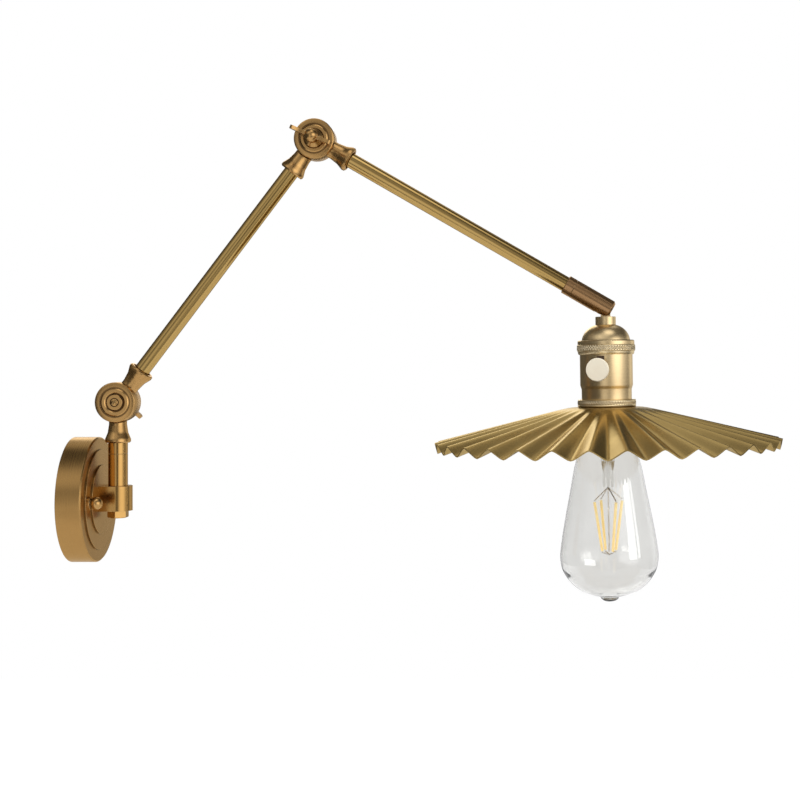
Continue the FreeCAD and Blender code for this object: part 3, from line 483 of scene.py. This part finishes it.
def finished(piece, kind="turned"):
    # Doubles merged, normals outward, smooth but for the sharp edges
    limit = math.radians(sharpAngles[kind])
    work = bmesh.new()
    work.from_mesh(piece.data)
    bmesh.ops.remove_doubles(work, verts=work.verts, dist=mergeDistances["piece"])
    bmesh.ops.recalc_face_normals(work, faces=work.faces)
    for edge in work.edges:
        edge.smooth = edge.is_manifold and edge.calc_face_angle(0) < limit
    for face in work.faces:
        face.smooth = True
    work.to_mesh(piece.data)
    work.free()
    return piece


def placed(piece, place):
    piece.data.transform(place)
    piece.data.update()
    return piece


def carried(piece, body, slot, *stoodFor):
    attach(piece, body)
    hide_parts(*stoodFor)
    return piece


# Pleated shade: one sheet of folds, deep at the rim and fading into the crown
shadeSizes = {"Pleats": 32, "Steps": 14, "Rings": 54, "Hub Radius": 16.45 * mm,
              "Rim Radius": 112.4 * mm, "Hub Height": -64.7 * mm, "Slope": 0.2453,
              "Knee Radius": 24.0 * mm, "Knee Softness": 4.0 * mm, "Fold Depth": 5.8 * mm,
              "Fold Inset": 1.3 * mm, "Fold Start": 28.0 * mm, "Fold Sharpness": 0.925,
              "Turn": -3.3}
shadeWall = 0.8 * mm


def pleatedSheet():
    tree, given, result = newTree("pleatedSheet", shadeSizes)
    value = given.outputs
    grid = tree.nodes.new("GeometryNodeMeshGrid")
    columns = calc(tree, "MULTIPLY", value["Pleats"], value["Steps"])
    wire(tree, calc(tree, "ADD", columns, 1.0), grid.inputs["Vertices X"])
    wire(tree, calc(tree, "ADD", value["Rings"], 1.0), grid.inputs["Vertices Y"])
    grid.inputs["Size X"].default_value = 1.0
    grid.inputs["Size Y"].default_value = 1.0
    position = tree.nodes.new("GeometryNodeInputPosition")
    split = tree.nodes.new("ShaderNodeSeparateXYZ")
    tree.links.new(position.outputs[0], split.inputs[0])
    around = calc(tree, "MULTIPLY", split.outputs[0], 2 * math.pi)
    outward = calc(tree, "ADD", split.outputs[1], 0.5)
    span = calc(tree, "SUBTRACT", value["Rim Radius"], value["Hub Radius"])
    radius = calc(tree, "MULTIPLY_ADD", outward, span, value["Hub Radius"])
    # Ridge line: a flat hub that bends softly into a cone
    past = calc(tree, "SUBTRACT", radius, value["Knee Radius"])
    soft = calc(tree, "MULTIPLY", value["Knee Softness"], value["Knee Softness"])
    bent = calc(tree, "SQRT", calc(tree, "MULTIPLY_ADD", past, past, soft))
    fall = calc(tree, "MULTIPLY", calc(tree, "ADD", bent, past), 0.5)
    ridge = calc(tree, "MULTIPLY_ADD", calc(tree, "MULTIPLY", fall, -1.0), value["Slope"],
                 value["Hub Height"])
    # Folds: a triangle wave with slightly rounded tips, a valley at the front
    phase = calc(tree, "MULTIPLY", around, value["Pleats"])
    bend = calc(tree, "MULTIPLY", calc(tree, "COSINE", phase), value["Fold Sharpness"])
    wave = calc(tree, "DIVIDE", calc(tree, "ARCSINE", bend),
                calc(tree, "ARCSINE", value["Fold Sharpness"]))
    valley = calc(tree, "MULTIPLY_ADD", wave, 0.5, 0.5)
    foldSpan = calc(tree, "SUBTRACT", value["Rim Radius"], value["Fold Start"])
    growth = calc(tree, "DIVIDE", calc(tree, "SUBTRACT", radius, value["Fold Start"]), foldSpan)
    growth = calc(tree, "MAXIMUM", growth, 0.0)
    share = calc(tree, "MULTIPLY", valley, growth)
    height = calc(tree, "SUBTRACT", ridge, calc(tree, "MULTIPLY", share, value["Fold Depth"]))
    reach = calc(tree, "SUBTRACT", radius, calc(tree, "MULTIPLY", share, value["Fold Inset"]))
    turn = calc(tree, "RADIANS", calc(tree, "SUBTRACT", value["Turn"], 90.0))
    angle = calc(tree, "ADD", around, turn)
    join = tree.nodes.new("ShaderNodeCombineXYZ")
    wire(tree, calc(tree, "MULTIPLY", reach, calc(tree, "COSINE", angle)), join.inputs[0])
    wire(tree, calc(tree, "MULTIPLY", reach, calc(tree, "SINE", angle)), join.inputs[1])
    tree.links.new(height, join.inputs[2])
    shape = tree.nodes.new("GeometryNodeSetPosition")
    tree.links.new(grid.outputs[0], shape.inputs["Geometry"])
    tree.links.new(join.outputs[0], shape.inputs["Position"])
    weld = tree.nodes.new("GeometryNodeMergeByDistance")
    weld.inputs["Distance"].default_value = mergeDistances["sheet"]
    tree.links.new(shape.outputs[0], weld.inputs["Geometry"])
    endTree(tree, given, result, weld.outputs[0])
    return grown("pleated_shade", tree, shadeSizes, shadeBrass)


def thickened(piece, wall):
    # The sheet gets its wall downwards, and the wall is part of the mesh
    solid = piece.modifiers.new("wall", "SOLIDIFY")
    solid.thickness = wall
    solid.offset = -1.0
    solid.use_even_offset = False
    name = piece.name
    piece.name = name + "Holder"
    return plainMesh(piece, name)


def facingUp(piece):
    work = bmesh.new()
    work.from_mesh(piece.data)
    work.normal_update()
    if sum(face.normal.z for face in work.faces) < 0:
        bmesh.ops.reverse_faces(work, faces=work.faces)
    work.to_mesh(piece.data)
    work.free()
    return piece


shade = finished(thickened(facingUp(pleatedSheet()), shadeWall), "shade")
placed(shade, headPlace)
carried(shade, "lamp_head", "shade_brass", "shade")
print("shade:", len(shade.data.polygons), "faces")


# Turned pieces: a closed outline of (radius, height) pairs in millimetres, spun round Z
turnSteps = {"ring": 160, "glass": 128, "seam": 96}


def turnedPiece(name, outline, material, kind="ring"):
    steps = turnSteps[kind]
    work = bmesh.new()
    rings = []
    for radius, height in outline:
        ring = []
        for index in range(steps if radius > 0 else 1):
            angle = 2 * math.pi * index / steps
            ring.append(work.verts.new((radius * mm * math.cos(angle),
                                        radius * mm * math.sin(angle), height * mm)))
        rings.append(ring)
    pairs = list(zip(rings, rings[1:] + rings[:1]))
    for first, second in pairs:
        for index in range(steps):
            corners = [first[index % len(first)], first[(index + 1) % len(first)],
                       second[(index + 1) % len(second)], second[index % len(second)]]
            corners = list(dict.fromkeys(corners))
            if len(corners) > 2:
                work.faces.new(corners)
    mesh = bpy.data.meshes.new(name)
    work.to_mesh(mesh)
    work.free()
    mesh.materials.append(material)
    return linked(bpy.data.objects.new(name, mesh))


def smoothLine(points, steps):
    # A curve through the points, with this many pieces between each two
    full = [points[0]] + list(points) + [points[-1]]
    line = []
    for index in range(len(points) - 1):
        before, start, end, after = (Vector(point) for point in full[index:index + 4])
        for step in range(steps):
            t = step / steps
            line.append(tuple(0.5 * (2 * start + (end - before) * t
                                     + (2 * before - 5 * start + 4 * end - after) * t ** 2
                                     + (3 * start - before - 3 * end + after) * t ** 3)))
    return line + [tuple(points[-1])]


# Knurled rings: a plain turned ring with rows of small pyramids on its rim
knurlSizes = {"Count": 66, "Rows": 3, "Radius": 18.76 * mm, "Top": -25.18 * mm,
              "Row Step": 0.95 * mm, "Width": 0.90 * mm, "Rise": 0.36 * mm}


def knurlTree():
    tree, given, result = newTree("knurl", knurlSizes)
    value = given.outputs
    points = tree.nodes.new("GeometryNodePoints")
    wire(tree, calc(tree, "MULTIPLY", value["Count"], value["Rows"]), points.inputs["Count"])
    number = tree.nodes.new("GeometryNodeInputIndex")
    row = calc(tree, "FLOOR", calc(tree, "DIVIDE", number.outputs[0], value["Count"]))
    shift = calc(tree, "MULTIPLY", calc(tree, "MODULO", row, 2.0), 0.5)
    place = calc(tree, "ADD", calc(tree, "MODULO", number.outputs[0], value["Count"]), shift)
    angle = calc(tree, "MULTIPLY", calc(tree, "DIVIDE", place, value["Count"]), 2 * math.pi)
    drop = calc(tree, "MULTIPLY", calc(tree, "ADD", row, 0.5), value["Row Step"])
    join = tree.nodes.new("ShaderNodeCombineXYZ")
    wire(tree, calc(tree, "MULTIPLY", value["Radius"], calc(tree, "COSINE", angle)), join.inputs[0])
    wire(tree, calc(tree, "MULTIPLY", value["Radius"], calc(tree, "SINE", angle)), join.inputs[1])
    wire(tree, calc(tree, "SUBTRACT", value["Top"], drop), join.inputs[2])
    put = tree.nodes.new("GeometryNodeSetPosition")
    tree.links.new(points.outputs[0], put.inputs["Geometry"])
    tree.links.new(join.outputs[0], put.inputs["Position"])
    cone = tree.nodes.new("GeometryNodeMeshCone")
    cone.inputs["Vertices"].default_value = 4
    cone.inputs["Radius Top"].default_value = 0.0
    wire(tree, value["Width"], cone.inputs["Radius Bottom"])
    wire(tree, value["Rise"], cone.inputs["Depth"])
    turn = tree.nodes.new("ShaderNodeCombineXYZ")
    turn.inputs[1].default_value = math.pi / 2
    tree.links.new(angle, turn.inputs[2])
    copies = tree.nodes.new("GeometryNodeInstanceOnPoints")
    tree.links.new(put.outputs[0], copies.inputs["Points"])
    tree.links.new(cone.outputs["Mesh"], copies.inputs["Instance"])
    tree.links.new(turn.outputs[0], copies.inputs["Rotation"])
    endTree(tree, given, result, copies.outputs[0])
    return tree


def joined(name, pieces):
    # One mesh from several, with their materials
    work = bmesh.new()
    mesh = bpy.data.meshes.new(name)
    for number, piece in enumerate(pieces):
        for face in piece.data.polygons:
            face.material_index = number
        work.from_mesh(piece.data)
        mesh.materials.append(piece.data.materials[-1])
    work.to_mesh(mesh)
    work.free()
    for piece in pieces:
        bpy.data.objects.remove(piece)
    return linked(bpy.data.objects.new(name, mesh))


def sharp(piece):
    # Every edge of the small pyramids stays crisp
    for face in piece.data.polygons:
        face.use_smooth = False
    return piece


def knurledRing(name, node, outline, sizes):
    # A plain turned ring under its pyramids, as one piece of the lamp head
    base = finished(turnedPiece(name + "Base", outline, ringBrass))
    rows = sharp(grown(name + "Knurl", knurl, sizes, knurlBrass))
    ring = placed(joined(node + "_knurled", [base, rows]), headPlace)
    return carried(ring, "lamp_head", "socket_brass", node)


knurl = knurlTree()
capRingOutline = [(17.2, -24.45), (18.6, -24.45), (18.95, -24.8), (18.8, -25.0), (18.8, -28.2),
                  (18.95, -28.35), (18.7, -28.65), (18.5, -28.65), (18.35, -29.45),
                  (18.05, -30.55), (17.9, -30.85), (17.2, -30.85)]
capRing = knurledRing("capRing", "cap_ring", capRingOutline, knurlSizes)

shadeRingOutline = [(16.35, -60.1), (18.6, -60.1), (18.95, -60.45), (18.8, -60.6),
                    (18.8, -63.4), (18.95, -63.55), (19.1, -63.9), (18.95, -64.3),
                    (18.3, -64.7), (16.35, -64.7)]
shadeRingSizes = {**knurlSizes, "Rows": 2, "Top": -61.08 * mm}
shadeRing = knurledRing("shadeRing", "shade_ring", shadeRingOutline, shadeRingSizes)
print("knurled rings:", len(capRing.data.polygons), len(shadeRing.data.polygons), "faces")

# Pear-shaped bulb glass with its closed nub
bulbSizes = {"wall": 0.8, "neckRadius": 12.4, "top": -68.0, "neckFoot": -76.6,
             "radii": (13.0, 17.7, 21.8, 24.8, 27.4, 29.8, 31.4, 32.0, 31.0, 28.6, 24.6, 18.4, 10.6),
             "heights": (-79.5, -90.0, -103.5, -119.1, -132.2, -145.2, -155.6, -162.3, -169.0,
                         -174.2, -179.4, -184.2, -187.0),
             "nub": [(6.6, -188.1), (5.6, -189.6), (3.9, -190.9), (1.8, -191.5), (0.0, -191.6)],
             "thickUnder": -165, "thickWithin": 30, "insideEnd": -187.2, "curveSteps": 4}


def bulbOutline():
    wall, neck = bulbSizes["wall"], bulbSizes["neckRadius"]
    top, foot = bulbSizes["top"], bulbSizes["neckFoot"]
    bowl = list(zip(bulbSizes["radii"], bulbSizes["heights"]))
    outer = smoothLine([(neck, foot)] + bowl + bulbSizes["nub"], bulbSizes["curveSteps"])
    inner = [(neck - wall, foot)]
    for radius, height in bowl:
        # Towards the closed end the wall is measured upwards too
        ended = radius < bulbSizes["thickWithin"] and height < bulbSizes["thickUnder"]
        inner.append((radius - wall, height + (wall if ended else 0.0)))
    inner = smoothLine(inner + [(0.0, bulbSizes["insideEnd"])], bulbSizes["curveSteps"])
    return [(neck, top)] + outer + inner[::-1] + [(neck - wall, top)]


bulbGlass = finished(turnedPiece("bulb_glass_clear", bulbOutline(), clearGlass, "glass"), "glass")
placed(bulbGlass, headPlace)
carried(bulbGlass, "lamp_head", "clear_glass", "bulb_glass")
print("bulb glass:", len(bulbGlass.data.polygons), "faces")

# The solids that already have the right shape are merged and smoothed as copies
finishes = [
    (plateBrass, ("canopy",)),
    (castBrass, ("ball_nut_1", "ball_nut_2", "lower_wing_nut", "upper_wing_nut")),
    (postBrass, ("bracket", "post_stem", "post_nut", "swivel_collar")),
    (lowerKnuckleBrass, ("post_knuckle", "lower_arm_foot_knuckle", "lower_pivot_bolt")),
    (upperKnuckleBrass, ("lower_arm_top_knuckle", "upper_arm_knuckle", "upper_pivot_bolt")),
    (lowerTubeBrass, ("lower_arm_tube",)),
    (upperTubeBrass, ("upper_arm_tube",)),
    (sleeveBrass, ("sleeve_base_ring", "end_sleeve")),
    (socketBrass, ("head_tongue", "socket_cap", "socket_shell", "shade_lock_ring")),
    (plain["knobCream"], ("switch_knob",)),
]
# The pieces inside and behind keep their solids and get a finish alone
hiddenFinishes = [
    (castBrass, ("fixing_nipple", "fixing_nut", "lower_arm_foot_nipple", "lower_arm_top_nipple",
                 "upper_arm_nipple", "cap_lock_nut", "terminal_screw_1", "terminal_screw_2",
                 "screw_shell", "centre_contact", "bulb_contact")),
    (plain["zincSteel"], ("mounting_strap", "earth_screw", "canopy_stud_1", "canopy_stud_2",
                          "fixing_lock_washer", "head_tilt_pin", "switch_stem")),
    (plain["fibreBoard"], ("lower_friction_ring", "upper_friction_ring", "shell_liner")),
    (plain["blackMoulding"], ("switch_block", "holder_sleeve", "bulb_insulator")),
    (plain["bulbCapMetal"], ("bulb_cap",)),
    (plain["nickelWire"], ("bulb_support_wires",)),
    (plain["filamentYellow"], ("filament_1", "filament_2", "filament_3", "filament_4")),
    (clearGlass, ("bulb_stem",)),
]
slots = {entry["node"]: entry["material_slot"] for entry in frame["record"]["subparts"]}


# A dark ring painted into the sleeve's seam as its shade, seen between the base ring and the end
# sleeve
seamSizes = {"radius": 5.9, "bore": 5.0, "fromPin": -24.15, "overlap": 0.3, "gap": 0.22}


def seamShadeRing():
    end = upperArm.length / mm + seamSizes["fromPin"]
    low, high = end - seamSizes["overlap"], end + seamSizes["gap"]
    bore, radius = seamSizes["bore"], seamSizes["radius"]
    outline = [(bore, low), (radius, low), (radius, high), (bore, high)]
    ring = finished(turnedPiece("seamShadeRing", outline, seamShadeBrass, "seam"))
    return placed(ring, Matrix.Translation(upperPivot) @ Matrix.Rotation(upperTurn[1], 4, "Y"))


def smoothCopy(name, material):
    node = nodes[name]
    piece = linked(bpy.data.objects.new(name + "_smooth", node.data.copy()))
    if piece.data.has_custom_normals:
        piece.data.attributes.remove(piece.data.attributes["custom_normal"])
    piece.data.materials.clear()
    piece.data.materials.append(material)
    for face in piece.data.polygons:
        face.material_index = 0
    finished(piece, "solid")
    # The base ring carries the seam's painted shade
    if name == "sleeve_base_ring":
        piece = joined(name + "_seam", [piece, seamShadeRing()])
    return carried(piece, node["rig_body"], slots[name], name)


def dressedNode(name, material):
    nodes[name].data.materials.clear()
    nodes[name].data.materials.append(material)
    return nodes[name]


copies = [smoothCopy(name, material) for material, names in finishes for name in names]
inside = [dressedNode(name, material) for material, names in hiddenFinishes for name in names]
print("solids dressed:", len(copies), "copies and", len(inside), "nodes")

# Studio: a pale floor that keeps the shadow, soft lamps, windows for the bulb's glass, and a
# world that shows polished metal a backdrop and soft panels
floorLook = {"height": -0.34, "size": 1.6, "centre": (0.25, 0.20), "tone": (0.86, 0.88),
             "cloud": (0.3, 0.7), "cloudScale": 3.0, "cloudDetail": 2.0, "rough": 0.9,
             "glow": 1.09, "glowShare": 0.84}
studio = {"ambient": 1.0, "surround": 0.08, "lampTarget": (0.23, 0, 0.08),
          "bulbMiddle": (0, 0, -0.15)}
# Each panel: where it stands, its half angle, its soft edge, its level and how flat it is
panels = {
    "rightSide": ((0.715, -0.69, 0.10), 8, 26, 1.15, 1),
    "rightBelt": ((0.72, -0.70, 0.0), 10, 66, 0.85, 3),
    "leftOfCamera": ((-0.325, -0.945, 0.04), 8, 10, 0.42, 1),
    "aboveCamera": ((-0.22, -0.72, 0.66), 8, 22, 0.60, 1),
    "upperLeft": ((-0.62, -0.55, 0.50), 10, 14, 0.62, 1),
    "farLeft": ((-0.85, -0.05, 0.50), 10, 12, 0.20, 1),
    "overhead": ((0.16, -0.34, 0.92), 10, 12, 1.50, 1),
    "belowCamera": ((-0.22, -0.88, -0.38), 8, 14, 0.80, 1),
    "farRight": ((0.85, 0.53, 0.05), 9, 9, 0.35, 1),
    "backdropRight": ((0.62, 0.78, -0.05), 18, 12, 0.58, 1),
    "backdropAbove": ((-0.18, 0.90, 0.39), 9, 8, 2.10, 1),
    "backdrop": ((0.0, 1.0, 0.05), 10, 6, 0.92, 1),
    "highBehind": ((0.00, 0.60, 0.80), 12, 15, 0.80, 1),
    "darkGap": ((0.15, -0.99, 0.00), 6, 7, -0.58, 1),
}
# Each lamp: its place, side and power. Each window: its place from the bulb, sides and power.
lamps = {
    "keyLamp": ((0.9, -1.1, 0.9), 1.6, 5.2),
    "fillLamp": ((-0.9, -1.0, 0.4), 1.2, 2.0),
    "topLamp": ((0.25, 0.2, 1.4), 1.2, 1.8),
}
windows = {
    "rightWindow": ((0.79, -0.58, 0.20), (0.36, 0.52), 2.0),
    "rightPane": ((0.93, -0.33, 0.18), (0.11, 0.44), 0.5),
    "leftWindow": ((-0.74, -0.64, -0.20), (0.48, 0.30), 1.9),
}


def seenDirectly(tree, light):
    # By the camera, or through the bulb's glass
    return calc(tree, "MAXIMUM", light.outputs["Is Camera Ray"],
                light.outputs["Is Transmission Ray"])


def mixedShader(tree, share, first, second):
    node = tree.nodes.new("ShaderNodeMixShader")
    for socket, value in zip(node.inputs, (share, first, second)):
        tree.links.new(value, socket)
    return node.outputs[0]


def floorMaterial():
    material, tree, shader = newMaterial("paleFloor")
    vector = placedCoordinates(tree, (0, 0, 0), (0, 0, 0))
    cloud = noise(tree, vector, floorLook["cloudScale"], floorLook["cloudDetail"])
    tone = between(tree, cloud, *floorLook["cloud"], *floorLook["tone"])
    tree.links.new(greyColour(tree, tone), shader.inputs["Base Color"])
    shader.inputs["Roughness"].default_value = floorLook["rough"]
    shader.inputs["Specular IOR Level"].default_value = 0.0
    glow = tree.nodes.new("ShaderNodeEmission")
    glow.inputs["Strength"].default_value = floorLook["glow"]
    seen = seenDirectly(tree, tree.nodes.new("ShaderNodeLightPath"))
    share = calc(tree, "MULTIPLY", seen, floorLook["glowShare"])
    above = mixedShader(tree, share, shader.outputs[0], glow.outputs[0])
    # From below the floor is clear, so that the lamp can be seen from there too
    side = tree.nodes.new("ShaderNodeNewGeometry")
    clear = tree.nodes.new("ShaderNodeBsdfTransparent")
    whole = mixedShader(tree, side.outputs["Backfacing"], above, clear.outputs[0])
    tree.links.new(whole, tree.nodes["Material Output"].inputs["Surface"])
    return material


def makeFloor():
    mesh = bpy.data.meshes.new("floor")
    half = floorLook["size"] / 2
    height = floorLook["height"]
    x, y = floorLook["centre"]
    mesh.from_pydata([(x - half, y - half, height), (x + half, y - half, height),
                      (x + half, y + half, height), (x - half, y + half, height)],
                     [], [(0, 1, 2, 3)])
    mesh.materials.append(floorMaterial())
    floor = linked(bpy.data.objects.new("floor", mesh))


def panelLevel(tree, direction, towards, spread, soft, level, flatness):
    # Full within the half angle, none past its soft edge
    squeeze = Vector((1, 1, flatness))
    unit = vectorCalc(tree, "NORMALIZE", vectorCalc(tree, "MULTIPLY", direction, squeeze))
    middle = (Vector(towards) * squeeze).normalized()
    facing = vectorCalc(tree, "DOT_PRODUCT", unit, middle)
    return between(tree, facing, math.cos(math.radians(spread + soft)),
                   math.cos(math.radians(spread)), 0.0, level)


def makeWorld():
    world = bpy.data.worlds.new("studio")
    world.use_nodes = True
    bpy.context.scene.world = world
    tree = world.node_tree
    background = tree.nodes["Background"]
    background.inputs["Color"].default_value = (1, 1, 1, 1)
    direction = tree.nodes.new("ShaderNodeTexCoord").outputs["Generated"]
    total = studio["surround"]
    for panel in panels.values():
        total = calc(tree, "ADD", panelLevel(tree, direction, *panel), total)
    light = tree.nodes.new("ShaderNodeLightPath")
    reflected = calc(tree, "SUBTRACT", total, studio["ambient"])
    level = calc(tree, "MULTIPLY_ADD", light.outputs["Is Glossy Ray"], reflected,
                 studio["ambient"])
    level = calc(tree, "MAXIMUM", level, seenDirectly(tree, light))
    tree.links.new(level, background.inputs["Strength"])


def hungLamp(name, place, target, width, height, power):
    data = bpy.data.lights.new(name, "AREA")
    data.shape = "RECTANGLE"
    data.size = width
    data.size_y = height
    data.energy = power
    lamp = linked(bpy.data.objects.new(name, data))
    lamp.location = place
    lamp.rotation_euler = (target - place).to_track_quat("-Z", "Y").to_euler()
    return lamp


def makeLamps():
    target = Vector(studio["lampTarget"])
    for name, (place, side, power) in lamps.items():
        lamp = hungLamp(name, Vector(place), target, side, side, power)
        lamp.visible_glossy = False


def makeWindows():
    # Windows that only the bulb's glass shows, as bright shapes in its reflection
    glassOnly = bpy.data.collections.new("glassOnly")
    glassOnly.objects.link(bulbGlass)
    middle = headPlace @ Vector(studio["bulbMiddle"])
    for name, (towards, (width, height), power) in windows.items():
        lamp = hungLamp(name, middle + Vector(towards), middle, width, height, power)
        lamp.visible_camera = False
        lamp.visible_diffuse = False
        lamp.light_linking.receiver_collection = glassOnly


makeFloor()
makeWorld()
makeLamps()
makeWindows()
print("studio made")
